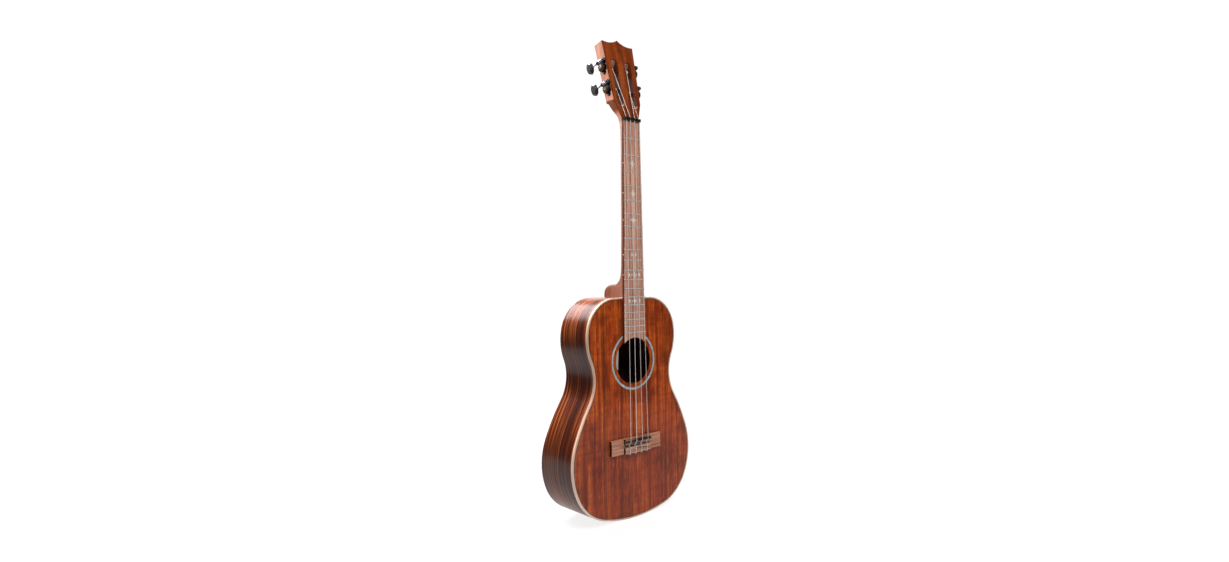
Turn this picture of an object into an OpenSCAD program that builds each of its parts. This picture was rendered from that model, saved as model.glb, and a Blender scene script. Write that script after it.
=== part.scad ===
// Baritone ukulele with a slotted headstock, four open-gear tuners and a tie bridge.
// Frame: tail edge at z = 0, neck up +Z, strings face -Y, bass side at -X.

/* [Scale and neck] */
// Vibrating string length from nut to saddle
scale_len = 511; // [500:1:520]
// Number of the fret that lines up with the body edge
joint_fret = 14; // [12:1:15]
// Number of frets
fret_count = 19; // [17:1:19]
// Fretboard width at the nut
nut_w = 34.9; // [33:0.1:38]
// Fretboard width at the body joint
joint_w = 43.8; // [42:0.1:46]
// Fretboard thickness
board_t = 4.6; // [4:0.1:6]
// Depth of the neck wood near the nut
neck_depth = 11.4; // [10:0.1:14]
// Half width of the heel where it ends at the back
heel_half_w = 12; // [9:0.5:14]
// How far the heel reaches behind the soundboard
heel_depth = 63.5; // [58:0.5:64]

/* [Body] */
// Radius of the shoulder
shoulder_r = 57.4; // [56:0.1:59]
// Radius of the waist
waist_r = 70.8; // [69:0.1:73]
// Radius of the lower bout
lower_bout_r = 107.8; // [106:0.1:110]
// Depth of the body at the neck
depth_neck = 65.7; // [60:0.1:72]
// Depth of the body at the tail
depth_tail = 86.9; // [80:0.1:92]
// Thickness of the soundboard
top_t = 2.2; // [1.8:0.1:2.6]
// Thickness of the back
back_t = 2.4; // [2:0.1:3]
// Thickness of the bent sides
rib_t = 2; // [1.6:0.1:2.4]
// Width of the binding seen from the front
binding_w = 2.8; // [2:0.1:3.4]
// Depth of the binding along the sides
binding_h = 4.8; // [4:0.1:6]
// Width of the dark line inside the binding
purfling_w = 0.9; // [0.6:0.1:1.2]
// Soundhole radius
hole_r = 37.45; // [34:0.05:40]
// Distance of the soundhole centre below the body's top edge
hole_drop = 103.1; // [100:0.1:106]
// Inner radius of the rosette ring
rosette_in_r = 43; // [42:0.1:44]
// Outer radius of the rosette ring
rosette_out_r = 47.4; // [46:0.1:49]

/* [Bridge and strings] */
// Half length of the bridge
bridge_half_l = 54.1; // [50:0.1:58]
// Height of the bridge wings
wing_h = 4.5; // [4:0.1:5.5]
// Height of the saddle bed and the tie block
block_h = 8.4; // [8:0.1:9]
// Half length of the saddle bed and the tie block
block_half_l = 27.5; // [26:0.1:29]
// Height of the string centres above the soundboard at the saddle
saddle_string_h = 11.6; // [11:0.1:12.5]
// Distance between strings at the saddle
saddle_pitch = 12.5; // [12:0.1:13]
// Distance between strings at the nut
nut_pitch = 9.2; // [8.8:0.1:9.6]

/* [Headstock and tuners] */
// Backward tilt of the headstock in degrees
head_tilt = 13; // [10:0.5:15]
// Length of the headstock from nut to peak
head_len = 138.9; // [135:0.1:142]
// Thickness of the headstock with its veneer
head_t = 19.8; // [19:0.1:21]
// Thickness of the front veneer
veneer_t = 2; // [1:0.1:2.5]
// Width of each string slot
slot_w = 13.5; // [12.5:0.1:14]
// Distance of each slot's centre line from the middle
slot_x = 14.5; // [14.3:0.1:14.7]
// Distance of the lower string rollers from the nut
roller_low = 51; // [50:0.5:53]
// Distance of the upper string rollers from the nut
roller_high = 88.5; // [87:0.5:89]
// Depth of the roller axes behind the headstock face
roller_depth = 9; // [8.6:0.1:9.4]
// Radius of the string rollers
roller_r = 2.8; // [2.6:0.1:3]
// Teeth on each tuner gear
gear_teeth = 14; // [14:1:14]
// Distance between a gear's centre and its worm's axis
worm_drop = 10; // [10:0.1:10.2]

/* [Hidden] */
$fn = 48;

// Half outline of the body as arcs that meet smoothly, from the neck joint clockwise to the
// tail: [radius, sweep in degrees]. A negative radius curves inward. The tail arc closes it.
HALF_ARCS = [[850, 2.7], [shoulder_r, 75], [85.6, 36.2], [-waist_r, -56], [305, 11.9],
    [lower_bout_r, 45.3], [79, 50.4]];
ARC_STEP = 4.5;

// The end of an arc that starts at p = [x, z, heading]
function arc_centre(p, r) = [p[0] + r * sin(p[2]), p[1] - r * cos(p[2])];
function arc_point(c, r, heading) = [c[0] - r * sin(heading), c[1] + r * cos(heading)];
function arc_end(p, arc) = let (
    heading = p[2] - arc[1],
    e = arc_point(arc_centre(p, arc[0]), arc[0], heading)) [e[0], e[1], heading];
function arc_start(i) = i == 0 ? [0, 0, 0] : arc_end(arc_start(i - 1), HALF_ARCS[i - 1]);

tail_start = arc_start(len(HALF_ARCS));
tail_sweep = 180 + tail_start[2];
ARCS = concat(HALF_ARCS, [[tail_start[0] / sin(tail_sweep), tail_sweep]]);
body_len = -arc_end(tail_start, ARCS[len(ARCS) - 1])[1];

// Points of the right half of the outline, moved inward by t, tail edge at z = 0
function half_outline(t) = [
    for (i = [0:len(ARCS) - 1])
        let (
            p = arc_start(i),
            r = ARCS[i][0],
            c = arc_centre(p, r),
            steps = ceil(abs(ARCS[i][1]) / ARC_STEP))
            for (k = [0:steps - 1])
                let (q = arc_point(c, r - t, p[2] - ARCS[i][1] * k / steps))
                    [max(q[0], 0), q[1] + body_len]];
function mirrored(points) = [for (i = [len(points) - 1:-1:1]) [-points[i][0], points[i][1]]];
function outline(t) = concat(half_outline(t), [[0, t]], mirrored(half_outline(t)));

// Places along the instrument
function fret_drop(n) = scale_len * (1 - pow(2, -n / 12));
z_nut = body_len + fret_drop(joint_fret);
z_hole = body_len - hole_drop;
saddle_comp = 2.8;
z_saddle = z_nut - scale_len - saddle_comp;
front_reach = saddle_string_h + 0.5;
y_front = -(depth_tail - front_reach) / 2;
back_tilt = atan((depth_tail - depth_neck) / body_len);
BIG = 1000;

// Half width of the fretboard at height z
function board_half_w(z) =
    (nut_w + (joint_w - nut_w) * (z_nut - z) / fret_drop(joint_fret)) / 2;

// Body frame: depth 0 is the soundboard's outer face
module in_body() {
    translate([0, y_front, 0])
        children();
}

// A shape drawn in x and z, extruded from depth d0 back to depth d1
module slab(d0, d1) {
    translate([0, d1, 0])
        rotate([90, 0, 0])
            linear_extrude(d1 - d0)
                children();
}

// The body's plan, moved inward by t
module plan(t) {
    polygon(outline(t));
}

// A ring of the body's plan between two insets
module plan_ring(t0, t1) {
    difference() {
        plan(t0);
        plan(t1);
    }
}

// The layer between insets t0 and t1 from the back's outer face
module back_layer(t0, t1) {
    translate([0, depth_tail, 0])
        rotate([back_tilt, 0, 0])
            translate([-BIG / 2, -t1, -BIG / 2])
                cube([BIG, t1 - t0, BIG]);
}

// ---- Body shell ----
edge_w = binding_w + purfling_w;
rosette_t = 1;

module soundboard() {
    color("sienna")
        in_body()
            difference() {
                slab(0, top_t)
                    difference() {
                        plan(edge_w);
                        translate([0, z_hole])
                            circle(hole_r, $fn = 96);
                    }
                slab(-1, rosette_t)
                    rosette_ring();
            }
}

module rosette_ring() {
    translate([0, z_hole])
        difference() {
            circle(rosette_out_r, $fn = 96);
            circle(rosette_in_r, $fn = 96);
        }
}

// The inlaid ring, which the fretboard's end covers at the top
module rosette() {
    color("lightgray")
        in_body()
            slab(0, rosette_t)
                rosette_ring();
}

module purfling() {
    color("black")
        in_body()
            slab(0, top_t)
                plan_ring(binding_w, edge_w);
}

module binding() {
    color("wheat")
        in_body()
            slab(0, binding_h)
                plan_ring(0, binding_w);
}

// One bent side, from the binding back to the back plate
module rib(side) {
    in_body()
        difference() {
            slab(binding_h, depth_tail + 1)
                intersection() {
                    plan_ring(0, rib_t);
                    translate([side > 0 ? 0 : -BIG, -1])
                        square([BIG, BIG]);
                }
            back_layer(-BIG, back_t);
        }
}

module rib_left() {
    color("saddlebrown")
        rib(-1);
}

module rib_right() {
    color("saddlebrown")
        rib(1);
}

module back_plate() {
    color("saddlebrown")
        in_body()
            intersection() {
                slab(depth_neck / 2, depth_tail + 1)
                    plan(0);
                back_layer(0, back_t);
            }
}

lining_in = 8;
lining_h = 12;

// Strip that glues the soundboard to the sides
module lining_front() {
    color("burlywood")
        in_body() {
            slab(top_t, binding_h)
                plan_ring(binding_w, lining_in);
            slab(binding_h, lining_h)
                plan_ring(rib_t, lining_in);
        }
}

module lining_back() {
    color("burlywood")
        in_body()
            intersection() {
                slab(depth_neck / 2, depth_tail + 1)
                    plan_ring(rib_t, lining_in);
                back_layer(back_t, lining_h);
            }
}

// A block that fills the space between the linings, w wide and from z0 to z1
module end_block(w, z0, z1) {
    difference() {
        in_body()
            slab(top_t, depth_tail)
                intersection() {
                    plan(rib_t);
                    translate([-w / 2, z0])
                        square([w, z1 - z0]);
                }
        in_body()
            back_layer(-BIG, back_t);
        binding();
        lining_front();
        lining_back();
    }
}

module head_block() {
    color("peru")
        end_block(58, body_len - 20, body_len);
}

module tail_block() {
    color("peru")
        end_block(44, 0, 15);
}

// ---- Bracing ----
brace_clear = 0.4;

// A bar under the soundboard along x, its free edge rounded off to a narrow crest
module cross_bar(z, w, h) {
    in_body()
        intersection() {
            translate([-BIG / 2, top_t, z])
                rotate([90, 0, 90])
                    linear_extrude(BIG)
                        polygon([[0, -w / 2], [h * 0.6, -w / 2], [h, -w / 6], [h, w / 6],
                            [h * 0.6, w / 2], [0, w / 2]]);
            slab(0, depth_tail)
                plan(lining_in + brace_clear);
        }
}

module transverse_braces() {
    color("tan") {
        cross_bar(z_hole + hole_r + 14, 9, 11);
        cross_bar(z_hole - hole_r - 14, 9, 11);
    }
}

fan_angle = 9;
fan_len = 118;

// Three bars that fan out below the bridge
module fan_braces() {
    color("tan")
        in_body()
            for (i = [-1:1])
                translate([i * 38, top_t, z_saddle - 14])
                    rotate([0, -i * fan_angle, 0])
                        translate([-3, plate_t, -fan_len / 2])
                            cube([6, 6, fan_len]);
}

plate_t = 1.6;

module bridge_plate() {
    color("peru")
        in_body()
            slab(top_t, top_t + plate_t)
                translate([-64, z_saddle - 75])
                    square([128, 122]);
}

back_brace_z = [52, 118, 196, 288];

module back_braces() {
    color("tan")
        in_body()
            intersection() {
                for (z = back_brace_z)
                    translate([-BIG / 2, 0, z])
                        cube([BIG, depth_tail, 8]);
                slab(0, depth_tail)
                    plan(lining_in + brace_clear);
                back_layer(back_t + strip_t, back_t + strip_t + 9);
            }
}

strip_t = 1.5;

module back_strip() {
    color("burlywood")
        in_body()
            intersection() {
                translate([-9, 0, 16])
                    cube([18, depth_tail, body_len - 37]);
                back_layer(back_t, back_t + strip_t);
            }
}

label_w = 62;
label_h = 38;
label_x = -4;
label_drop = 5;

// Plain paper label seen through the soundhole
module inner_label() {
    color("white")
        in_body()
            intersection() {
                translate([label_x - label_w / 2, 0, z_hole - label_h / 2 - label_drop])
                    cube([label_w, depth_tail, label_h]);
                back_layer(back_t + strip_t, back_t + strip_t + 0.3);
            }
}

// ---- Neck ----
heel_len = 20.6;
ring_steps = 9;

// Depth of the neck wood at height u above the body joint, without the heel
neck_run = fret_drop(joint_fret);
function shaft_depth(u) =
    neck_depth + 1.4 * (1 - u / neck_run) + 5.6 * exp((u - neck_run) / 15);
function heel_curve(u) = 18 * exp((heel_len - u) / 8.3);
function foot_depth(u) =
    let (inner = shaft_depth(heel_len) + heel_curve(heel_len))
        inner + (heel_depth - inner) * pow(1 - pow(max(u, 0) / heel_len, 3), 1 / 3);
function wood_depth(u) =
    u < heel_len ? foot_depth(u) : shaft_depth(u) + heel_curve(u);

// Cross-section of the neck as [x, depth] points: half width a, depth b, half width h near the
// back and a roundness k, where 2 is an ellipse and more is squarer
function neck_section(a, b, h, k) =
    let (right = [for (j = [0:ring_steps])
        let (v = sin(90 * j / ring_steps))
            [(a + (h - a) * min(1, v * 1.25)) * sqrt(1 - pow(v, k)), b * v]])
    concat(right, [for (j = [ring_steps - 1:-1:0]) [-right[j][0], right[j][1]]]);

// Heights of the neck's cross-sections above the body joint
foot_steps = 9;
FOOT = [for (i = [1:foot_steps - 1]) heel_len * (1 - pow(1 - i / foot_steps, 2.5))];
CURVE = [for (i = [0:8]) heel_len + 0.2 + 44 * pow(i / 8, 1.5)];
SHAFT = [95, 130, 170, 205, 230];
SWEEP = [for (i = [0:6]) 240 + (neck_run - 242) * sin(90 * i / 6)];
STATIONS = concat([-1], FOOT, CURVE, SHAFT, SWEEP);

function heel_share(u) =
    (wood_depth(u) - shaft_depth(u)) / (heel_depth - shaft_depth(0));

// One ring of the shaft in row coordinates
function shaft_ring(u) =
    let (
        a = board_half_w(body_len + u),
        share = heel_share(max(u, 0)),
        h = a + (heel_half_w - a) * min(1, 1.6 * share),
        k = 2 + 14 * pow(share, 1.5))
        [for (p = neck_section(a, wood_depth(max(u, 0)), h, k))
            [p[0], y_front + p[1], body_len + u]];

// Headstock frame: x, depth behind its face, and distance s from the nut
head_y = y_front - 2;
head_z = z_nut + 4;
function head_to_row(p) = [
    p[0],
    head_y + p[1] * cos(head_tilt) + p[2] * sin(head_tilt),
    head_z - p[1] * sin(head_tilt) + p[2] * cos(head_tilt)];

module in_head() {
    translate([0, head_y, head_z])
        rotate([-head_tilt, 0, 0])
            children();
}

shoulder_s = 30;
shoulder_w = 28.3;
top_w = 33;
top_s = 132.2;
core_t = head_t - veneer_t;
throat_w = 18.1;
round_to = 8;
shoulder_step = 0.3;
core_step = 0.2;

function throat_half_w(s) =
    throat_w + (shoulder_w - shoulder_step - throat_w) * min(1, (s - 1) / (shoulder_s - 1));
function throat_square(s) =
    s < round_to ? 2 : 2 + 18 * pow((s - round_to) / (shoulder_s - round_to), 1.6);
function head_ring(s) =
    let (a = throat_half_w(s))
        [for (p = neck_section(a, core_t - core_step, a, throat_square(s)))
            head_to_row([p[0], veneer_t + p[1], s])];
THROAT = [3.5, 7, 11, 15, 19, 23, 27, shoulder_s];

// Rectangular ring of the flat part of the headstock
function head_box(s) =
    let (
        a = side_half_w(s),
        side = [for (j = [0:ring_steps - 2]) [a, core_t * j / (ring_steps - 2)]],
        half = concat(side, [[a / 2, core_t]]),
        other = [for (j = [len(half) - 1:-1:0]) [-half[j][0], half[j][1]]])
        [for (p = concat(half, [[0, core_t]], other)) head_to_row([p[0], veneer_t + p[1], s])];

// Closed solid through rings of equal length
module loft(rings) {
    n = len(rings[0]);
    last = len(rings) - 1;
    sides = [for (i = [0:last - 1]) for (j = [0:n - 1])
        let (k = (j + 1) % n, a = i * n, b = a + n)
            each [[a + j, b + j, b + k], [a + j, b + k, a + k]]];
    ends = [[for (j = [0:n - 1]) j], [for (j = [n - 1:-1:0]) last * n + j]];
    polyhedron(points = [for (r = rings) each r], faces = concat(sides, ends), convexity = 8);
}

// Peaked top edge of the headstock in x and s
crest_steps = 8;
crest_sag = [14.5, 128.6];
function crest(t) =
    (1 - t) * (1 - t) * [top_w, top_s] + 2 * t * (1 - t) * crest_sag + t * t * [0, head_len];
crest_room = 10;
module above_crest() {
    top = head_len + crest_room;
    right = concat([[top_w + crest_room, top], [top_w + crest_room, top_s]],
        [for (i = [0:crest_steps]) crest(i / crest_steps)]);
    polygon(concat(right, [for (i = [len(right) - 2:-1:0]) [-right[i][0], right[i][1]]]));
}

// Extrude a shape drawn in x and s from depth d0 to d1 behind the headstock's face
module head_slab(d0, d1) {
    in_head()
        slab(d0, d1)
            children();
}

slot_front = [20, 102.5];
slot_back = [36, 87];

// A rounded slot whose ends slope inward towards the back
module string_slot(side) {
    r = slot_w / 2;
    in_head()
        intersection() {
            translate([side * slot_x, 0, 0])
                slab(-1, head_t + 1) {
                    translate([-r, slot_front[0] + r])
                        square([slot_w, slot_front[1] - slot_front[0] - slot_w]);
                    for (s = [slot_front[0] + r, slot_front[1] - r])
                        translate([0, s])
                            circle(r);
                }
            translate([side * slot_x - r - 1, 0, 0])
                rotate([90, 0, 90])
                    linear_extrude(slot_w + 2)
                        polygon([[-1, slot_front[0] - 1], [head_t + 1, slot_back[0] + 1],
                            [head_t + 1, slot_back[1] - 1], [-1, slot_front[1] + 1]]);
        }
}

// Angle of the headstock's sides, which the tuners sit square to
side_taper = atan((top_w - shoulder_w) / (top_s - shoulder_s));
function side_half_w(s) = shoulder_w + (s - shoulder_s) * tan(side_taper);

// Tuner frame: x outward from the headstock's side, y backward, z away from the nut
module at_tuner(n) {
    side = n <= 2 ? 1 : -1;
    s = (n == 1 || n == 4) ? roller_low : roller_high;
    in_head()
        mirror([side > 0 ? 0 : 1, 0, 0])
            translate([side_half_w(s), roller_depth, s])
                rotate([0, side_taper, 0])
                    children();
}

// A rod along the tuner's x axis from x0 to x1
module cross_rod(r, x0, x1) {
    translate([x0, 0, 0])
        rotate([0, 90, 0])
            cylinder(h = x1 - x0, r = r);
}

running_fit = 0.06;
roller_end = -26;
end_room = 0.5;
bore_start = 5;
past_crest = 3;
screw_z = [-9.2, 13.9];
screw_y = [2, 0];
screw_head_r = 1.5;
pilot_r = 0.9;
pilot_depth = 7;
pilot_room = 0.2;

module neck() {
    color("peru")
        difference() {
            loft(concat([for (u = STATIONS) shaft_ring(u)], [for (s = THROAT) head_ring(s)],
                [for (s = [shoulder_s + shoulder_step, head_len + past_crest]) head_box(s)]));
            head_slab(0, head_t + past_crest)
                above_crest();
            in_body()
                slab(-1, depth_tail)
                    plan(0);
            string_slot(1);
            string_slot(-1);
            for (n = [1:4])
                at_tuner(n) {
                    cross_rod(roller_r + running_fit, roller_end - end_room, bore_start);
                    for (i = [0, 1])
                        translate([0, screw_y[i], screw_z[i]])
                            cross_rod(pilot_r + 0.05, -pilot_depth - pilot_room, 1);
                }
        }
}

// Thin decorative face of the headstock
module headstock_veneer() {
    color("sienna")
        difference() {
            head_slab(0, veneer_t)
                polygon(concat([[throat_half_w(2), 2]], [[shoulder_w, shoulder_s]],
                    [for (i = [0:crest_steps]) crest(i / crest_steps)],
                    [for (i = [crest_steps - 1:-1:0]) [-crest(i / crest_steps)[0],
                        crest(i / crest_steps)[1]]],
                    [[-shoulder_w, shoulder_s], [-throat_half_w(2), 2]]));
            string_slot(1);
            string_slot(-1);
            translate([-BIG / 2, y_front - BIG / 2, z_nut - 1])
                cube([BIG, BIG, nut_t + 1]);
        }
}

// ---- Fretboard ----
nut_t = 5;
fret_w = 1.8;
fret_h = 0.95;
tang_w = 0.55;
tang_h = 1.6;
marker_t = 1;

module board_outline() {
    difference() {
        polygon([[board_half_w(z_nut), z_nut], [board_half_w(z_hole), z_hole],
            [-board_half_w(z_hole), z_hole], [-board_half_w(z_nut), z_nut]]);
        translate([0, z_hole])
            circle(hole_r, $fn = 96);
    }
}

module fretboard() {
    color("rosybrown")
        in_body()
            difference() {
                slab(-board_t, 0)
                    board_outline();
                for (n = [1:fret_count])
                    translate([-BIG / 2, -board_t - 1, z_nut - fret_drop(n) - tang_w / 2])
                        cube([BIG, tang_h + 1, tang_w]);
                marker_pockets();
                side_dot_row();
            }
}

// One fret: a rounded crown with a tang that sits in its slot
module fret(n) {
    z = z_nut - fret_drop(n);
    half = board_half_w(z) - 0.1;
    crown_r = (fret_w * fret_w / 4 + fret_h * fret_h) / (2 * fret_h);
    translate([-half, -board_t, z]) {
        intersection() {
            translate([0, crown_r - fret_h, 0])
                rotate([0, 90, 0])
                    cylinder(h = 2 * half, r = crown_r);
            translate([0, -fret_h - 1, -fret_w])
                cube([2 * half, fret_h + 1, 2 * fret_w]);
        }
        translate([0, 0, -tang_w / 2])
            cube([2 * half, tang_h - 0.1, tang_w]);
    }
}

module frets() {
    color("silver")
        in_body()
            for (n = [1:fret_count])
                fret(n);
}

// Middle of the space below fret n - 1
function space_mid(n) = z_nut - (fret_drop(n - 1) + fret_drop(n)) / 2;

module lozenge(w, h) {
    polygon([[w / 2, 0], [0, h / 2], [-w / 2, 0], [0, -h / 2]]);
}

// A tall lozenge between two short ones
module marker_single() {
    lozenge(5.2, 12);
    for (side = [-1, 1])
        translate([side * 4.6, 0])
            lozenge(2.6, 5);
}

module marker_triple() {
    marker_single();
    for (side = [-1, 1])
        translate([side * 11, 0])
            lozenge(5.2, 7);
}

module marker_pair() {
    for (side = [-1, 1])
        translate([side * 4, 0])
            lozenge(5.6, 7);
}

module marker_plan() {
    for (n = [3, 5, 7])
        translate([0, space_mid(n)])
            marker_single();
    translate([0, space_mid(10)])
        marker_pair();
    for (n = [12, 15])
        translate([0, space_mid(n)])
            marker_triple();
}

module marker_pockets() {
    slab(-board_t - 1, -board_t + marker_t)
        marker_plan();
}

module fret_markers() {
    color("lightcyan")
        in_body()
            slab(-board_t, -board_t + marker_t)
                marker_plan();
}

dot_r = 1;

// Position dots along the bass edge of the fretboard
module side_dot_row() {
    for (n = [3, 5, 7, 10, 12])
        translate([-board_half_w(space_mid(n)) - 0.2, -board_t / 2, space_mid(n)])
            rotate([0, 90, 0])
                cylinder(h = 2, r = dot_r, $fn = 24);
}

module side_dots() {
    color("white")
        in_body()
            intersection() {
                side_dot_row();
                slab(-board_t, 0)
                    board_outline();
            }
}

// ---- Strings: places and sizes ----
STRING_R = [0.36, 0.41, 0.49, 0.4];
nut_string_h = 6.3;
function nut_x(n) = (2.5 - n) * nut_pitch;
function saddle_x(n) = (2.5 - n) * saddle_pitch;
nut_top = nut_string_h + 1.3;

module nut() {
    color("black")
        in_body()
            difference() {
                translate([-nut_w / 2 - 0.1, -nut_top, z_nut])
                    cube([nut_w + 0.2, nut_top, nut_t]);
                for (n = [1:4])
                    translate([nut_x(n), -nut_string_h, z_nut - 1]) {
                        cylinder(h = nut_t + 2, r = STRING_R[n - 1] + 0.12);
                        translate([-STRING_R[n - 1] - 0.12, -5, 0])
                            cube([2 * STRING_R[n - 1] + 0.24, 5, nut_t + 2]);
                    }
            }
}

// ---- Bridge ----
bridge_top = z_nut - 508.7;
bridge_len = 24;
bridge_low = bridge_top - bridge_len;
bed_low = bridge_top - 9;
tie_top = bridge_top - 14;
saddle_w = 3;
saddle_half_l = 27;
saddle_seat = 3;
tie_hole_h = 5.2;
tie_hole_r = 0.85;
end_notch_r = 90;
trim_w = 1.7;
trim_t = 1.1;

module bridge() {
    color("rosybrown")
        in_body()
            difference() {
                union() {
                    slab(-wing_h, 0)
                        difference() {
                            translate([-bridge_half_l, bridge_low])
                                square([2 * bridge_half_l, bridge_len]);
                            for (side = [-1, 1])
                                translate([side * (bridge_half_l + end_notch_r - 1),
                                    bridge_low + bridge_len / 2])
                                    circle(end_notch_r, $fn = 96);
                        }
                    slab(-block_h, -wing_h) {
                        translate([-block_half_l, bed_low])
                            square([2 * block_half_l, bridge_top - bed_low - 0.6]);
                        translate([-block_half_l, bridge_low])
                            square([2 * block_half_l, tie_top - bridge_low]);
                    }
                }
                translate([-saddle_half_l, -BIG - saddle_seat, z_saddle - saddle_w / 2])
                    cube([2 * saddle_half_l, BIG, saddle_w]);
                for (n = [1:4])
                    translate([saddle_x(n), -tie_hole_h, bridge_low - 1])
                        cylinder(h = tie_top - bridge_low + 2, r = tie_hole_r, $fn = 24);
                trim_strips();
            }
}

module trim_strips() {
    for (z = [bridge_low, tie_top - trim_w])
        translate([-block_half_l, -block_h, z])
            cube([2 * block_half_l, trim_t, trim_w]);
}

// Hard strips that keep the strings from cutting the tie block's edges
module tie_block_trim() {
    color("ivory")
        in_body()
            trim_strips();
}

module saddle() {
    color("black")
        in_body()
            translate([-saddle_half_l, 0, z_saddle]) {
                top = saddle_string_h - max(STRING_R) - 0.05;
                crown = saddle_w / 2;
                translate([0, -top + crown, -saddle_w / 2])
                    cube([2 * saddle_half_l, top - crown - saddle_seat, saddle_w]);
                intersection() {
                    translate([0, -top + crown, 0])
                        rotate([0, 90, 0])
                            cylinder(h = 2 * saddle_half_l, r = crown);
                    translate([0, -top, -saddle_w])
                        cube([2 * saddle_half_l, crown, 2 * saddle_w]);
                }
            }
}

// ---- Strings ----
string_sides = 8;
roller_gap = 0.05;

function unit(v) = v / norm(v);
function direction(path, i) =
    i == 0 ? unit(path[1] - path[0])
    : i == len(path) - 1 ? unit(path[i] - path[i - 1])
    : unit(unit(path[i + 1] - path[i]) + unit(path[i] - path[i - 1]));

// Round cord of radius r along a path that never runs along x
module cord(path, r) {
    loft([for (i = [0:len(path) - 1])
        let (t = direction(path, i), u = unit(cross(t, [1, 0, 0])), v = cross(t, u))
            [for (j = [0:string_sides - 1])
                path[i] + r * (cos(360 * j / string_sides) * v
                    + sin(360 * j / string_sides) * u)]]);
}

// Distance of the free string from the middle where it meets its roller
function lane_x(n) = (n == 1 || n == 4) ? 13.8 : 15.6;
function lane_side(n) = n <= 2 ? 1 : -1;
function lane_s(n) = (n == 1 || n == 4) ? roller_low : roller_high;

// A point on the roller's axis at distance x from the middle, which tilts with the side
function axis_s(n, x) = lane_s(n) + (side_half_w(lane_s(n)) - x) * tan(side_taper);

function string_path(n) =
    let (
        r = STRING_R[n - 1],
        over = tie_hole_h - block_h,
        x = saddle_x(n),
        meet = head_to_row([lane_side(n) * lane_x(n),
            roller_depth - roller_r - r - roller_gap, axis_s(n, lane_x(n))]))
        concat(
            [meet],
            [for (p = [
                [nut_x(n), -nut_string_h, z_nut + nut_t - 0.3],
                [nut_x(n), -nut_string_h, z_nut + 0.3],
                [x, -saddle_string_h, z_saddle + 0.6],
                [x, -saddle_string_h, z_saddle - 0.4],
                [x, -tie_hole_h, tie_top + 0.4],
                [x, -tie_hole_h, bridge_low - 0.5],
                [x + 0.1, -tie_hole_h - 0.7, bridge_low - 1.5],
                [x + 0.3, -block_h + 0.6, bridge_low - 1.4],
                [x + 0.5, -block_h - r - 0.1, bridge_low - 0.3],
                [x + 0.8, -block_h - r - 0.1, tie_top + 0.1],
                [x + 1, -block_h + 0.3, tie_top + 1.3],
                [x + 1.15, -block_h + 1.6, tie_top + 1.5]])
                [p[0], p[1] + y_front, p[2]]]);

module string_1() {
    color("whitesmoke")
        cord(string_path(1), STRING_R[0]);
}

module string_2() {
    color("whitesmoke")
        cord(string_path(2), STRING_R[1]);
}

module string_3() {
    color("whitesmoke")
        cord(string_path(3), STRING_R[2]);
}

module string_4() {
    color("whitesmoke")
        cord(string_path(4), STRING_R[3]);
}

// ---- Tuners ----
turns = 3;

// The string's turns on its roller, beside the free string and towards the headstock's side
module winding(n) {
    r = STRING_R[n - 1];
    start = lane_x(n) - side_half_w(lane_s(n));
    color("whitesmoke")
        at_tuner(n)
            for (i = [1:turns])
                translate([start + i * (2 * r + 0.08) + 0.1, 0, 0])
                    rotate([0, 90, 0])
                        rotate_extrude()
                            translate([roller_r + r, 0])
                                circle(r, $fn = 16);
}

module winding_1() {
    winding(1);
}

module winding_2() {
    winding(2);
}

module winding_3() {
    winding(3);
}

module winding_4() {
    winding(4);
}

tuner_plate_t = 1;
lug_t = 2.2;
lug_y = 5.6;
worm_x = 4.9;
worm_shaft_r = 1.5;
gear_x0 = 3.3;
gear_w = 3.2;

// Plate with two upright lugs that carry the worm shaft
module tuner_plate(n) {
    color("dimgray")
        at_tuner(n)
            difference() {
                union() {
                    hull()
                        for (z = [-7.8, 11.8])
                            translate([0, 0, z])
                                cross_rod(4, 0, tuner_plate_t);
                    translate([0, -6.6, -5.5])
                        cube([tuner_plate_t, 13.2, 19]);
                    for (side = [-1, 1])
                        translate([0, side * (lug_y + lug_t / 2) - lug_t / 2, worm_drop - 3.2]) {
                            cube([worm_x, lug_t, 6.4]);
                            translate([worm_x, 0, 3.2])
                                rotate([-90, 0, 0])
                                    cylinder(h = lug_t, r = 3.2);
                        }
                }
                cross_rod(roller_r + running_fit, -1, 3);
                translate([worm_x, -BIG / 2, worm_drop])
                    rotate([-90, 0, 0])
                        cylinder(h = BIG, r = worm_shaft_r + running_fit);
                for (i = [0, 1])
                    translate([0, screw_y[i], screw_z[i]])
                        cross_rod(pilot_r + 0.1, -1, 3);
            }
}

module tuner_plate_1() {
    tuner_plate(1);
}

module tuner_plate_2() {
    tuner_plate(2);
}

module tuner_plate_3() {
    tuner_plate(3);
}

module tuner_plate_4() {
    tuner_plate(4);
}

square_half = 1.7;
gear_screw_r = 1;

// Roller that winds the string, with a squared end for the gear
module string_roller(n) {
    color("black")
        at_tuner(n)
            difference() {
                union() {
                    cross_rod(roller_r, roller_end, gear_x0 - 0.1);
                    translate([gear_x0 - 0.2, -square_half, -square_half])
                        cube([gear_w, 2 * square_half, 2 * square_half]);
                }
                cross_rod(gear_screw_r + 0.05, gear_x0 - 4, gear_x0 + gear_w + 1);
            }
}

module string_roller_1() {
    string_roller(1);
}

module string_roller_2() {
    string_roller(2);
}

module string_roller_3() {
    string_roller(3);
}

module string_roller_4() {
    string_roller(4);
}

gear_module = 1;
gear_pitch_r = gear_module * gear_teeth / 2;
worm_pitch_r = worm_drop - gear_pitch_r;
worm_pitch = PI * gear_module;
lead_angle = atan(worm_pitch / (2 * PI * worm_pitch_r));
tooth_out = 0.65;
tooth_in = 0.95;
gear_mid_x = gear_x0 + gear_w / 2;

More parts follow.
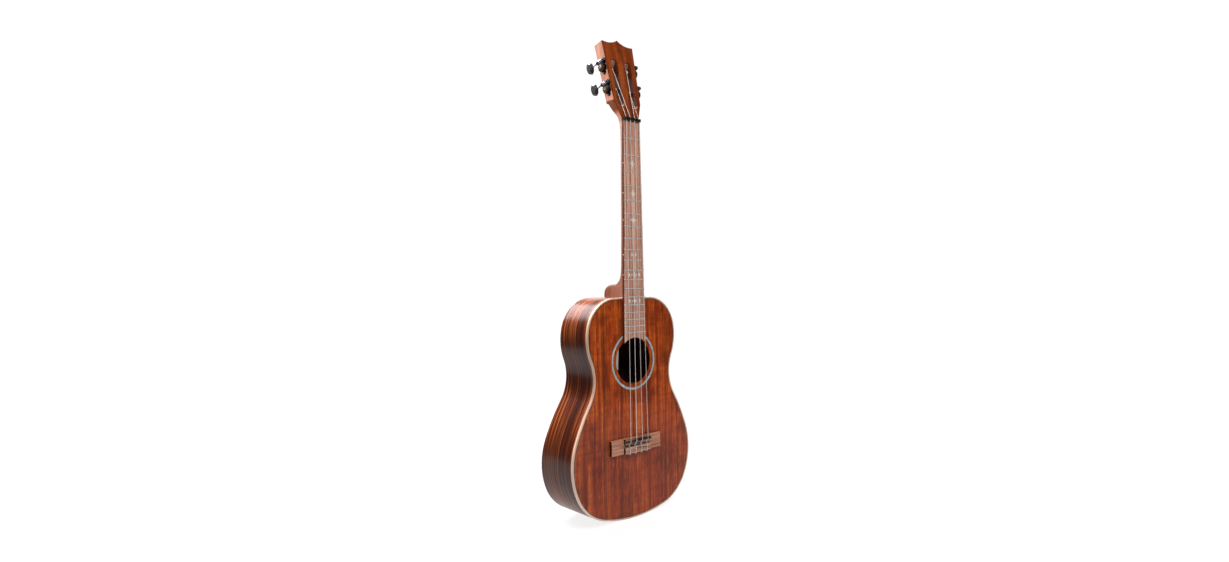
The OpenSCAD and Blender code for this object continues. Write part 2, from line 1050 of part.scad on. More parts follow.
// Gear whose slanted teeth follow the worm's thread
module tuner_gear(n) {
    color("goldenrod")
        at_tuner(n)
            difference() {
                intersection() {
                    union() {
                        cross_rod(gear_pitch_r - tooth_in, gear_x0, gear_x0 + gear_w);
                        for (i = [0:gear_teeth - 1])
                            rotate([360 * (i + 0.5) / gear_teeth, 0, 0])
                                gear_tooth();
                    }
                    cross_rod(gear_pitch_r + tooth_out, gear_x0, gear_x0 + gear_w);
                }
                translate([0, -square_half - 0.03, -square_half - 0.03])
                    cube([BIG, 2 * square_half + 0.06, 2 * square_half + 0.06]);
            }
}

// One tooth pointing along +z, turned by the lead angle about its own height
module gear_tooth() {
    root = gear_pitch_r - tooth_in - 0.3;
    translate([gear_mid_x, 0, root])
        rotate([0, 0, lead_angle])
            rotate([90, 0, 90])
                linear_extrude(gear_w + 2, center = true)
                    polygon([[-0.95, 0], [0.95, 0], [0.3, tooth_in + tooth_out + 0.4],
                        [-0.3, tooth_in + tooth_out + 0.4]]);
}

module tuner_gear_1() {
    tuner_gear(1);
}

module tuner_gear_2() {
    tuner_gear(2);
}

module tuner_gear_3() {
    tuner_gear(3);
}

module tuner_gear_4() {
    tuner_gear(4);
}

// Slotted screw that holds the gear on the roller
module gear_screw(n) {
    color("gold")
        at_tuner(n)
            difference() {
                union() {
                    cross_rod(2.7, gear_x0 + gear_w + 0.02, gear_x0 + gear_w + 1.3);
                    cross_rod(gear_screw_r, gear_x0 - 3.6, gear_x0 + gear_w + 0.1);
                }
                translate([gear_x0 + gear_w + 0.7, -0.35, -5])
                    cube([3, 0.7, 10]);
            }
}

module gear_screw_1() {
    gear_screw(1);
}

module gear_screw_2() {
    gear_screw(2);
}

module gear_screw_3() {
    gear_screw(3);
}

module gear_screw_4() {
    gear_screw(4);
}

worm_half = 5.1;
thread_steps = 20;
thread_turns = 2.6;
thread_top = 0.65;
thread_base = 1.45;
thread_h = 0.62;

// Worm thread around +y, its middle groove facing the gear
module worm_thread() {
    steps = round(thread_turns * thread_steps);
    core = worm_pitch_r - 0.85;
    tip = worm_pitch_r + thread_h;
    loft([for (i = [0:steps])
        let (
            turn = (i - steps / 2) / thread_steps,
            y = turn * worm_pitch,
            spin = turn * 360 + 180)
            [for (p = [[core, thread_base / 2], [tip, thread_top / 2], [tip, -thread_top / 2],
                [core, -thread_base / 2]])
                [p[0] * sin(spin), y + p[1], p[0] * cos(spin)]]]);
}

button_gap = 2.2;
button_y0 = 19.5;
shaft_front = -9.2;

// Worm and the shaft that the button turns
module worm_shaft(n) {
    color("gray")
        at_tuner(n)
            translate([worm_x, 0, worm_drop]) {
                worm_thread();
                translate([0, -worm_half, 0])
                    rotate([-90, 0, 0])
                        cylinder(h = 2 * worm_half, r = worm_pitch_r - 0.8);
                translate([0, shaft_front, 0])
                    rotate([-90, 0, 0])
                        cylinder(h = button_y0 + 3 - shaft_front, r = worm_shaft_r);
                translate([0, shaft_front, 0])
                    rotate([-90, 0, 0])
                        cylinder(h = 1, r = 2.3);
                translate([0, lug_y + lug_t + 0.3, 0])
                    rotate([-90, 0, 0])
                        cylinder(h = 2, r = 2.6);
            }
}

module worm_shaft_1() {
    worm_shaft(1);
}

module worm_shaft_2() {
    worm_shaft(2);
}

module worm_shaft_3() {
    worm_shaft(3);
}

module worm_shaft_4() {
    worm_shaft(4);
}

button_w = 19.5;
button_l = 12;
button_t = 8.4;

// Oval button with bevelled edges, bored for the shaft
module tuner_button(n) {
    color("black")
        at_tuner(n)
            translate([worm_x, button_y0, worm_drop])
                difference() {
                    union() {
                        hull()
                            for (grow = [0, 1])
                                translate([0, button_l / 2 + 1, 0])
                                    rotate([0, 90, 0])
                                        scale([button_w / 2 - 2 * (1 - grow), button_l / 2 - 1.6
                                            * (1 - grow), 1])
                                            cylinder(h = button_t - 3.6 * grow, r = 1,
                                                center = true, $fn = 32);
                        rotate([-90, 0, 0])
                            cylinder(h = 2.4, r = 2.5);
                    }
                    translate([0, -1, 0])
                        rotate([-90, 0, 0])
                            cylinder(h = 4.05, r = worm_shaft_r + 0.02);
                }
}

module tuner_button_1() {
    tuner_button(1);
}

module tuner_button_2() {
    tuner_button(2);
}

module tuner_button_3() {
    tuner_button(3);
}

module tuner_button_4() {
    tuner_button(4);
}

// Screws that hold the four plates to the headstock
module plate_screws() {
    color("silver")
        for (n = [1:4])
            at_tuner(n)
                for (i = [0, 1])
                    translate([0, screw_y[i], screw_z[i]])
                        difference() {
                            union() {
                                cross_rod(pilot_r, -pilot_depth, tuner_plate_t + 0.1);
                                cross_rod(screw_head_r, tuner_plate_t + 0.01, tuner_plate_t + 0.95);
                            }
                            translate([tuner_plate_t + 0.5, -0.25, -3])
                                cube([3, 0.5, 6]);
                        }
}

soundboard();
rosette();
purfling();
binding();
rib_left();
rib_right();
back_plate();
lining_front();
lining_back();
head_block();
tail_block();
transverse_braces();
fan_braces();
bridge_plate();
back_braces();
back_strip();
inner_label();
neck();
headstock_veneer();
fretboard();
frets();
fret_markers();
side_dots();
nut();
bridge();
saddle();
tie_block_trim();
string_1();
string_2();
string_3();
string_4();
winding_1();
winding_2();
winding_3();
winding_4();
tuner_plate_1();
tuner_plate_2();
tuner_plate_3();
tuner_plate_4();
string_roller_1();
string_roller_2();
string_roller_3();
string_roller_4();
tuner_gear_1();
tuner_gear_2();
tuner_gear_3();
tuner_gear_4();
gear_screw_1();
gear_screw_2();
gear_screw_3();
gear_screw_4();
worm_shaft_1();
worm_shaft_2();
worm_shaft_3();
worm_shaft_4();
tuner_button_1();
tuner_button_2();
tuner_button_3();
tuner_button_4();
plate_screws();
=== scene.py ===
"""Looks for a baritone ukulele with a slotted headstock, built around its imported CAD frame.

Metres throughout, in the part's own frame: tail edge at z = 0, neck up +Z, strings face -Y.
"""

import math

import bmesh
import bpy
from mathutils import Matrix, Vector


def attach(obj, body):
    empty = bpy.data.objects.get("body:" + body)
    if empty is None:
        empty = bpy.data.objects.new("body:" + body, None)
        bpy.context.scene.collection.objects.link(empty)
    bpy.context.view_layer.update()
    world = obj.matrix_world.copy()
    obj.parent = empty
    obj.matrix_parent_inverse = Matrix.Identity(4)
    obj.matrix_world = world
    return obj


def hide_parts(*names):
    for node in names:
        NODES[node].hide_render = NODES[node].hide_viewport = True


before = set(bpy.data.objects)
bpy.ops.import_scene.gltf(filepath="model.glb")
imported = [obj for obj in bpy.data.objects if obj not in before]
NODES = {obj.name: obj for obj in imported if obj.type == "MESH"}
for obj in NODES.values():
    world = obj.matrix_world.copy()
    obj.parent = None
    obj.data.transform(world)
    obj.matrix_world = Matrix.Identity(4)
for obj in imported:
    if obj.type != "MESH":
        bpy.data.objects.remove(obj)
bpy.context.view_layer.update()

MM = 0.001
ROOT = "instrument"

# ---------------------------------------------------------------- dimensions, as in the CAD source
Y_FRONT = -37.4 * MM
BODY_LEN = 356.273 * MM
Z_NUT = 639.649 * MM
Z_HOLE = 253.173 * MM
Z_SADDLE = 125.849 * MM
BRIDGE_TOP = Z_NUT - 508.7 * MM
BRIDGE_LOW = BRIDGE_TOP - 24 * MM
TIE_TOP = BRIDGE_TOP - 14 * MM
BLOCK_H = 8.4 * MM
TIE_HOLE_H = 5.2 * MM
ROSETTE_R = (43 * MM, 47.4 * MM)
STRING_R = {1: 0.36 * MM, 2: 0.41 * MM, 3: 0.49 * MM, 4: 0.4 * MM}
NUT_T = 5 * MM
NUT_STRING_H = 6.3 * MM
SADDLE_STRING_H = 11.6 * MM
NUT_PITCH = 9.2 * MM
SADDLE_PITCH = 12.5 * MM
HEAD_TILT = math.radians(13)
SHOULDER_S, SHOULDER_W = 30 * MM, 28.3 * MM
TOP_S, TOP_W = 132.2 * MM, 33 * MM
ROLLER_R = 2.8 * MM
ROLLER_DEPTH = 9 * MM
ROLLER_GAP = 0.05 * MM
SIDE_TAPER = math.atan((TOP_W - SHOULDER_W) / (TOP_S - SHOULDER_S))
ROLLER_S = {1: 51 * MM, 2: 88.5 * MM, 3: 88.5 * MM, 4: 51 * MM}
LANE_X = {1: 13.8 * MM, 2: 15.6 * MM, 3: 15.6 * MM, 4: 13.8 * MM}
SIDE = {1: 1, 2: 1, 3: -1, 4: -1}
WINDING_TURNS = 3
TUNERS = (1, 2, 3, 4)

HEAD_ORIGIN = Vector((0, Y_FRONT - 2 * MM, Z_NUT + 4 * MM))
HEAD_BACK = Vector((0, math.cos(HEAD_TILT), -math.sin(HEAD_TILT)))
HEAD_UP = Vector((0, math.sin(HEAD_TILT), math.cos(HEAD_TILT)))
RIGHT = Vector((1, 0, 0))


def head_point(x, depth, s):
    """Point at x, depth behind the headstock's face and distance s from the nut."""
    return HEAD_ORIGIN + RIGHT * x + HEAD_BACK * depth + HEAD_UP * s


def side_half_w(s):
    """Half width of the headstock at distance s from the nut."""
    return SHOULDER_W + (s - SHOULDER_S) * math.tan(SIDE_TAPER)


# ---------------------------------------------------------------- node helpers
class Nodes:
    """Short way to build a material's node tree. Scales count features per metre."""

    def __init__(self, name):
        self.mat = bpy.data.materials.new(name)
        self.mat.use_nodes = True
        self.tree = self.mat.node_tree
        self.bsdf = self.tree.nodes["Principled BSDF"]
        self.coord = self.tree.nodes.new("ShaderNodeTexCoord").outputs["Object"]

    def feed(self, socket, value):
        """Links another node's output to a socket, or sets the socket to a plain value."""
        if hasattr(value, "is_output"):
            self.tree.links.new(value, socket)
        else:
            socket.default_value = value

    def new(self, kind, **inputs):
        node = self.tree.nodes.new(kind)
        for key, value in inputs.items():
            self.feed(node.inputs[key.replace("_", " ")], value)
        return node

    def stretched(self, scale):
        return self.new("ShaderNodeMapping", Vector=self.coord, Scale=scale).outputs["Vector"]

    def noise(self, scale, detail=4.0, roughness=0.55, distortion=0.0, seed=0.0):
        vector = self.stretched(scale)
        if seed:
            shift = self.new("ShaderNodeVectorMath", Vector=vector)
            shift.inputs[1].default_value = (seed, seed * 0.7, seed * 1.3)
            vector = shift.outputs[0]
        node = self.new("ShaderNodeTexNoise", Vector=vector, Scale=1.0, Detail=detail,
                        Roughness=roughness, Distortion=distortion)
        return node.outputs["Fac"]

    def ramp(self, fac, stops):
        """Colour that runs through the stops, each a place from 0 to 1 and a colour."""
        node = self.new("ShaderNodeValToRGB", Fac=fac)
        elements = node.color_ramp.elements
        while len(elements) < len(stops):
            elements.new(0.5)
        for element, (place, colour) in zip(elements, stops):
            element.position = place
            element.color = (*colour, 1)
        return node.outputs["Color"]

    def curve(self, value, low, high, out_low=0.0, out_high=1.0, smooth=False):
        """out_low up to low, out_high from high on, and a slope between them."""
        node = self.new("ShaderNodeMapRange", Value=value, From_Min=low, From_Max=high,
                        To_Min=out_low, To_Max=out_high)
        node.interpolation_type = "SMOOTHSTEP" if smooth else "LINEAR"
        return node.outputs["Result"]

    def mix(self, fac, a, b, blend="MIX"):
        node = self.tree.nodes.new("ShaderNodeMix")
        node.data_type = "RGBA"
        node.blend_type = blend
        for index, value in ((0, fac), (6, a), (7, b)):
            self.feed(node.inputs[index], (*value, 1) if isinstance(value, tuple) else value)
        return node.outputs[2]

    def math(self, operation, a, b=0.0, c=0.0):
        node = self.tree.nodes.new("ShaderNodeMath")
        node.operation = operation
        for socket, value in zip(node.inputs, (a, b, c)):
            self.feed(socket, value)
        return node.outputs[0]

    def axes(self):
        node = self.new("ShaderNodeSeparateXYZ", Vector=self.coord)
        return node.outputs["X"], node.outputs["Y"], node.outputs["Z"]

    def wandering(self, value, scale, reach):
        """value plus a slow noise from 0 to reach."""
        slow = self.noise(scale, detail=2)
        return self.math("ADD", value, self.math("MULTIPLY", slow, reach))

    def near(self, value, middle, inner, outer, amount):
        """amount where value is within inner of middle, and nothing from outer on."""
        away = self.math("ABSOLUTE", self.math("SUBTRACT", value, middle))
        return self.curve(away, inner, outer, amount, 0, True)

    def finish(self, colour, roughness, bump, strength, distance, **sockets):
        """Sets the surface's colour, roughness, bump and other sockets. Gives the material."""
        self.feed(self.bsdf.inputs["Base Color"], colour)
        self.feed(self.bsdf.inputs["Roughness"], roughness)
        if bump is not None:
            node = self.new("ShaderNodeBump", Height=bump, Strength=strength, Distance=distance)
            self.feed(self.bsdf.inputs["Normal"], node.outputs["Normal"])
        for key, value in sockets.items():
            self.feed(self.bsdf.inputs[key.replace("_", " ")], value)
        return self.mat


def srgb(r, g, b):
    """Linear colour from 0-255 screen values."""
    return tuple(
        c / 12.92 if c <= 0.04045 else ((c + 0.055) / 1.055) ** 2.4
        for c in (r / 255, g / 255, b / 255)
    )


def darker(colour, share):
    return tuple(c * share for c in colour)


# ---------------------------------------------------------------- kinds of surface
STREAK_SHARE, LINE_SHARE = 0.68, 0.32
GRAIN_STOPS = (0.3, 0.5, 0.72)
# less specular where a wood is varnished, since the varnish adds its own
BARE_SPECULAR, COATED_SPECULAR = 0.25, 0.05
WOOD_BUMP_DEPTH = 0.2 * MM
SATIN_BUMP_DEPTH = 0.05 * MM
BRUSH_BUMP_DEPTH = 0.04 * MM
PEARL_BUMP_DEPTH = 0.1 * MM
SCREEN_GAMMA = 2.2


def wood(name, along, dark, mid, light, fine=900, broad=60, run=4, pores=0.35, rough=0.42,
         coat=0.0, coat_rough=0.1, bump=0.25, figure=0.0, tint=None, seed=0.0, veins=0.0,
         vein_gap=300):
    """Wood: broad streaks, fine lines, pores and a finish. The grain runs along the named axes,
    two of them on a bent side. figure adds curl across the grain, and veins patchy dark lines
    along it."""
    n = Nodes(name)

    def scale(across, length):
        return tuple(length if axis in along else across for axis in "xyz")

    streaks = n.noise(scale(broad, run), detail=3, roughness=0.6, distortion=0.6, seed=seed)
    lines = n.noise(scale(fine, run * 2), detail=4, roughness=0.7, seed=seed)
    grain = n.math("ADD", n.math("MULTIPLY", streaks, STREAK_SHARE),
                   n.math("MULTIPLY", lines, LINE_SHARE))
    colour = n.ramp(grain, list(zip(GRAIN_STOPS, (dark, mid, light))))
    if figure:
        curl = n.noise(scale(18, 120), detail=1, roughness=0.4, distortion=0.8, seed=seed)
        shade = n.ramp(curl, [(0.35, (1 - figure,) * 3), (0.65, (1,) * 3)])
        colour = n.mix(1.0, colour, shade, "MULTIPLY")
    if veins:
        vein = n.noise(scale(vein_gap, run * 0.7), detail=2, roughness=0.4, distortion=0.3,
                       seed=seed + 11)
        patchy = n.noise(scale(24, run * 2), detail=2, seed=seed + 5)
        amount = n.math("MULTIPLY", n.near(vein, 0.5, 0.005, 0.045, veins),
                        n.curve(patchy, 0.35, 0.6, 0.25, 1.2))
        colour = n.mix(amount, colour, darker(dark, 0.45))
    pore = n.noise(scale(fine * 2.6, run * 14), detail=2, roughness=0.5, seed=seed)
    pore_mask = n.curve(pore, 0.62, 0.74)
    colour = n.mix(n.math("MULTIPLY", pore_mask, pores), colour, darker(dark, 0.3))
    if tint:
        colour = tint(n, colour)
    roughness = n.curve(lines, 0.3, 0.7, rough - 0.06, rough + 0.08)
    height = n.math("SUBTRACT", n.math("MULTIPLY", lines, 0.4), pore_mask)
    return n.finish(colour, roughness, height, bump, WOOD_BUMP_DEPTH, Coat_Weight=coat,
                    Coat_Roughness=coat_rough, Coat_IOR=1.5,
                    Specular_IOR_Level=COATED_SPECULAR if coat else BARE_SPECULAR)


# the stripes of the top and of the headstock: place across it, half width, strength
TOP_STRIPES = ((-0.062, 0.010, 0.5), (-0.030, 0.004, 0.5), (0.071, 0.007, 0.45),
               (0.034, 0.004, 0.4), (-0.105, 0.006, 0.45), (0.052, 0.003, 0.4),
               (-0.083, 0.003, 0.4), (0.1, 0.004, 0.4))
TOP_WANDER = 20 * MM
HEAD_STRIPES = ((0.012, 0.005, 0.6), (-0.024, 0.003, 0.5), (0.03, 0.012, 0.45),
                (-0.004, 0.003, 0.3))
HEAD_WANDER = 12 * MM
# the sides' stretches of painted shade: low end, high end, strength
SIDE_SHADE_BANDS = ((0.05, 0.15, 0.5), (0.2, 0.29, 0.5))
SIDE_WANDER = 30 * MM
# heights where the painted shade towards the tail, darker and redder, is full and where it has
# gone
TAIL_SHADE = (130 * MM, 200 * MM)
# heights on the neck where the painted shade under the headstock's shoulders starts, is full, and
# ends
THROAT_SHADE_START, THROAT_SHADE_FULL, THROAT_SHADE_END = Z_NUT + 9 * MM, Z_NUT + 19 * MM, Z_NUT + 33 * MM
THROAT_SHADE_EDGE = 0.5 * MM
# how far the heel's shade goes up the neck, and how it deepens from front to back
HEEL_UP = (BODY_LEN + 15 * MM, BODY_LEN + 120 * MM)
HEEL_BACK = (Y_FRONT + 10 * MM, Y_FRONT + 60 * MM)


def top_tint(n, colour):
    """Koa top: mottled, darker and redder towards the tail by painted shade, with dark stripes
    along the grain.
    """
    x, _, z = n.axes()
    # painted shade: the top turns darker and redder towards the tail, where less light falls
    tail = n.curve(n.wandering(z, (9, 9, 3), 60 * MM), *TAIL_SHADE, 1, 0, True)
    colour = n.mix(n.math("MULTIPLY", tail, 0.4), colour, srgb(104, 28, 18))
    cloud = n.noise((26, 26, 15), detail=3, roughness=0.6, distortion=0.4, seed=2.2)
    colour = n.mix(n.curve(cloud, 0.36, 0.54, 0.55, 0, True), colour, srgb(84, 24, 9))
    stipple = n.noise((620, 620, 170), detail=2, roughness=0.6)
    colour = n.mix(n.curve(stipple, 0.5, 0.66, 0, 0.32), colour, srgb(70, 20, 8))
    fleck = n.noise((480, 480, 60), detail=2, roughness=0.6, seed=3.3)
    colour = n.mix(n.curve(fleck, 0.54, 0.68, 0, 0.14), colour, srgb(240, 130, 58))
    place = n.wandering(x, (5, 5, 7), TOP_WANDER)
    for centre, width, amount in TOP_STRIPES:
        stripe = n.near(place, centre + TOP_WANDER / 2, 0, width, amount)
        colour = n.mix(stripe, colour, srgb(70, 18, 8))
    return colour


def side_tint(n, colour):
    """Bent sides: painted shade in bands below the middle of the lower bout, and at the waist."""
    _, _, z = n.axes()
    place = n.wandering(z, (14, 14, 3), SIDE_WANDER)
    # painted shade: the sides darken through each band
    for low, high, amount in SIDE_SHADE_BANDS:
        middle, half = (low + high) / 2 + SIDE_WANDER / 2, (high - low) / 2
        shade_band = n.near(place, middle, half * 0.5, half * 1.3, amount)
        colour = n.mix(shade_band, colour, srgb(46, 13, 4))
    return colour


def head_tint(n, colour):
    """Headstock face: darker stripes along the grain, the widest near its right edge."""
    x, _, _ = n.axes()
    place = n.wandering(x, (5, 5, 9), HEAD_WANDER)
    for centre, width, amount in HEAD_STRIPES:
        colour = n.mix(n.near(place, centre, 0, width, amount), colour, srgb(78, 28, 10))
    return colour


def neck_tint(n, colour):
    """Mahogany neck: painted shade, dark and reddish, under the headstock's shoulders, and a
    shaded heel.
    """
    _, y, z = n.axes()
    # painted shade: the neck darkens under the headstock's shoulders, where it faces down
    throat_shade = n.math("MULTIPLY", n.curve(z, THROAT_SHADE_START, THROAT_SHADE_FULL, 0, 1, True),
                   n.curve(z, THROAT_SHADE_END, THROAT_SHADE_END + THROAT_SHADE_EDGE, 1, 0))
    colour = n.mix(n.math("MULTIPLY", throat_shade, 0.85), colour, srgb(92, 38, 18))
    heel = n.math("MULTIPLY", n.curve(z, *HEEL_UP, 0.75, 0, True),
                  n.curve(y, *HEEL_BACK, 0.6, 1))
    return n.mix(heel, colour, srgb(104, 50, 32))


def dappled(name, colour, other, scale, rough, metallic=0.0, bump=0.15, **sockets):
    """A nearly even surface with small changes of colour and roughness."""
    n = Nodes(name)
    cloud = n.noise((scale,) * 3, detail=5, roughness=0.6)
    fine = n.noise((scale * 9,) * 3, detail=3, roughness=0.6)
    mixed = n.ramp(cloud, [(0.3, colour), (0.7, other)])
    roughness = n.curve(fine, 0.3, 0.7, rough - 0.08, rough + 0.08)
    return n.finish(mixed, roughness, fine, bump, SATIN_BUMP_DEPTH, Metallic=metallic,
                    **sockets)


def brushed(name, colour, other, along, rough):
    """Metal with fine lines along one axis."""
    n = Nodes(name)
    lines = n.noise(tuple(300 if axis == along else 9000 for axis in "xyz"), detail=3)
    cloud = n.noise((240, 240, 240), detail=4)
    mixed = n.ramp(cloud, [(0.3, colour), (0.7, other)])
    roughness = n.curve(lines, 0.3, 0.7, rough - 0.07, rough + 0.1)
    return n.finish(mixed, roughness, lines, 0.12, BRUSH_BUMP_DEPTH, Metallic=1.0)


def pearl(name, scale, bright=1.0):
    """Shell inlay: soft cells that shift between white, lilac and pale green."""
    n = Nodes(name)
    warp = n.noise((90, 90, 90), detail=3, distortion=1.5)
    cell = n.new("ShaderNodeTexVoronoi", Vector=n.stretched((scale,) * 3), Scale=1.0,
                 Randomness=1.0)
    hue = n.math("ADD", n.math("MULTIPLY", warp, 0.55),
                 n.math("MULTIPLY", cell.outputs["Distance"], 0.45))
    colour = n.ramp(hue, [(0.2, srgb(104, 100, 110)), (0.36, srgb(176, 164, 172)),
                          (0.5, srgb(140, 158, 150)), (0.64, srgb(196, 188, 184)),
                          (0.82, srgb(128, 118, 134))])
    if bright != 1.0:
        colour = n.mix(1.0, colour, (bright ** SCREEN_GAMMA,) * 3, "MULTIPLY")
    return n.finish(colour, n.curve(warp, 0.3, 0.7, 0.16, 0.3), warp, 0.1, PEARL_BUMP_DEPTH,
                    Coat_Weight=0.6, Coat_Roughness=0.08, Sheen_Weight=0.1)



# ---------------------------------------------------------------- materials
KOA_TOP = wood("koa_top", "z", srgb(84, 22, 6), srgb(178, 70, 20), srgb(238, 126, 52),
               fine=820, broad=150, run=4, coat=0.36, coat_rough=0.2, bump=0.12, figure=0.24,
               tint=top_tint, veins=0.45, vein_gap=170)
KOA_SIDE = wood("koa_sides", "xz", srgb(34, 8, 2), srgb(76, 28, 10), srgb(188, 100, 44),
                fine=620, broad=300, run=4, coat=0.42, coat_rough=0.24, bump=0.1,
                tint=side_tint, seed=3.1, veins=0.55, vein_gap=240)
KOA_BACK = wood("koa_back", "z", srgb(44, 14, 6), srgb(104, 42, 15), srgb(160, 80, 36),
                fine=760, broad=90, run=4, coat=0.65, coat_rough=0.14, bump=0.1, figure=0.18,
                seed=5.7)
# painted shade: the back's inner face is darkened for the shade inside the body
KOA_INSIDE_SHADED = wood("koa_inside", "z", srgb(30, 12, 6), srgb(52, 24, 12), srgb(74, 38, 20),
                  fine=760, broad=90, run=4, rough=0.7, seed=5.7)
KOA_HEAD = wood("koa_head", "z", srgb(72, 22, 6), srgb(126, 54, 16), srgb(160, 80, 32),
                fine=800, broad=90, run=5, coat=0.4, coat_rough=0.15, bump=0.12, figure=0.12,
                tint=head_tint, seed=1.9)
SLOT_WOOD = wood("slot_wood", "z", srgb(58, 20, 8), srgb(108, 54, 28), srgb(150, 88, 54),
                 fine=800, broad=120, run=6, coat=0.3, rough=0.5, seed=1.2)
MAHOGANY = wood("mahogany", "z", srgb(140, 86, 68), srgb(180, 126, 104), srgb(208, 160, 138),
                fine=900, broad=120, run=7, pores=0.4, coat=0.35, coat_rough=0.25, rough=0.45,
                bump=0.2, seed=2.3, tint=neck_tint)
BOARD_WOOD = wood("fretboard_wood", "z", srgb(100, 62, 50), srgb(168, 122, 102),
                  srgb(214, 176, 158), fine=1100, broad=330, run=6, pores=0.5, rough=0.5,
                  bump=0.3, seed=4.2, veins=0.6, vein_gap=240)
BOARD_EDGE = wood("board_edge", "z", srgb(44, 18, 12), srgb(74, 36, 26), srgb(104, 56, 42),
                  fine=1100, broad=240, run=6, rough=0.5, bump=0.2, seed=4.2)
BRIDGE_WOOD = wood("bridge_wood", "x", srgb(92, 52, 38), srgb(166, 112, 88),
                   srgb(198, 146, 120), fine=1000, broad=420, run=9, pores=0.6, rough=0.5,
                   bump=0.3, seed=6.4, veins=0.8, vein_gap=230)
BRIDGE_END = wood("bridge_end", "x", srgb(8, 4, 3), srgb(18, 10, 7), srgb(34, 20, 14),
                  fine=1000, broad=260, run=9, rough=0.6, bump=0.2, seed=6.4)
SPRUCE = wood("spruce", "z", srgb(120, 90, 56), srgb(150, 120, 80), srgb(172, 144, 102),
              fine=900, broad=300, run=5, rough=0.6, pores=0.1, seed=7.5)
PALE_WOOD = wood("pale_wood", "z", srgb(100, 70, 42), srgb(132, 98, 62), srgb(156, 124, 84),
                 fine=800, broad=140, run=5, rough=0.62, pores=0.3, seed=8.1)
MAPLE = wood("binding_maple", "xz", srgb(178, 138, 116), srgb(206, 170, 148), srgb(220, 190, 170),
             fine=900, broad=160, run=8, pores=0.12, coat=0.8, coat_rough=0.08, rough=0.38,
             bump=0.06, seed=9.3)
PURFLING = dappled("purfling_dark", srgb(26, 16, 14), srgb(40, 24, 20), 300, 0.35,
                   Coat_Weight=0.8, Coat_Roughness=0.08)
PEARL_RING = pearl("pearl_ring", 150)
PEARL_INLAY = pearl("pearl_inlay", 420, 1.25)
# painted light: the label glows so that it shows in the shade inside the body
LABEL_GLOWING = dappled("label_paper", srgb(196, 186, 166), srgb(214, 206, 190), 120, 0.85,
                Emission_Color=(0.75, 0.72, 0.66, 1), Emission_Strength=0.35)
FRET_WIRE = dappled("fret_wire", srgb(196, 190, 186), srgb(226, 222, 218), 700, 0.3, 0.5)
BONE = dappled("black_bone", srgb(12, 11, 11), srgb(24, 22, 22), 200, 0.32)
TRIM = dappled("trim_strip", srgb(128, 112, 104), srgb(170, 156, 148), 400, 0.4)
GUNMETAL = brushed("gunmetal", srgb(40, 40, 44), srgb(84, 84, 92), "z", 0.24)
GEAR_RIM = brushed("gear_rim", srgb(44, 38, 32), srgb(92, 78, 60), "x", 0.3)
ROLLER = dappled("roller_black", srgb(14, 14, 15), srgb(28, 28, 30), 300, 0.38)
BRASS = brushed("gear_brass", srgb(206, 176, 128), srgb(240, 218, 176), "x", 0.26)
SCREW = brushed("screw_steel", srgb(150, 146, 152), srgb(186, 182, 190), "x", 0.26)
WORM = brushed("worm_steel", srgb(152, 148, 158), srgb(192, 188, 198), "y", 0.22)
BUTTON = dappled("button_black", srgb(12, 14, 16), srgb(24, 27, 30), 150, 0.3, bump=0.05,
                 Coat_Weight=0.5, Coat_Roughness=0.2)
NYLON = dappled("string_nylon", srgb(196, 186, 182), srgb(224, 216, 212), 500, 0.24, bump=0.05)


# ---------------------------------------------------------------- mesh helpers
WELD = 0.002 * MM


def link_object(name, data):
    obj = bpy.data.objects.new(name, data)
    bpy.context.scene.collection.objects.link(obj)
    return obj


def settle(obj, material, body=ROOT, replaced=()):
    """Give a finished piece its material, slot, body and the CAD nodes it stands for."""
    obj.data.materials.clear()
    obj.data.materials.append(material)
    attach(obj, body)
    if replaced:
        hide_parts(*replaced)
    return obj


def smooth(mesh, angle):
    """Smooth shading, with edges sharper than angle left crisp."""
    mesh.shade_smooth()
    mesh.set_sharp_from_angle(angle=math.radians(angle))


def eased(obj, width, segments, angle, level):
    """The mesh of obj with its edges rounded."""
    bevel = obj.modifiers.new("eased_edges", "BEVEL")
    bevel.width = width
    bevel.segments = segments
    bevel.limit_method = "ANGLE"
    bevel.angle_limit = math.radians(angle)
    bevel.harden_normals = not level
    bevel.miter_outer = "MITER_ARC"
    if level:
        flats = obj.modifiers.new("flat_faces", "WEIGHTED_NORMAL")
        flats.weight = 100
        flats.keep_sharp = True
    bpy.context.view_layer.update()
    mesh = bpy.data.meshes.new_from_object(
        obj.evaluated_get(bpy.context.evaluated_depsgraph_get()))
    obj.modifiers.clear()
    return mesh


def refined(node, name, material, bevel=0.3 * MM, segments=2, angle=30, body=ROOT,
            level=False):
    """A finished piece made from a CAD node's solid: welded, smooth, with its edges eased.
    level keeps broad faces with many holes free of shading streaks."""
    mesh = NODES[node].data.copy()
    bm = bmesh.new()
    bm.from_mesh(mesh)
    bmesh.ops.remove_doubles(bm, verts=bm.verts, dist=WELD)
    bmesh.ops.dissolve_limit(bm, angle_limit=math.radians(0.4), verts=bm.verts, edges=bm.edges)
    bm.to_mesh(mesh)
    bm.free()
    smooth(mesh, angle)
    obj = link_object(name, mesh)
    if bevel:
        obj.data = eased(obj, bevel, segments, angle, level)
    return settle(obj, material, body, [node])


def paint(obj, material, chosen):
    """A second material on the faces that chosen(centre, normal) picks."""
    obj.data.materials.append(material)
    index = len(obj.data.materials) - 1
    for face in obj.data.polygons:
        if chosen(face.center, face.normal):
            face.material_index = index


def dress(node, material):
    """A CAD node that keeps its own mesh gets its detailed material."""
    data = NODES[node].data
    data.materials.clear()
    data.materials.append(material)


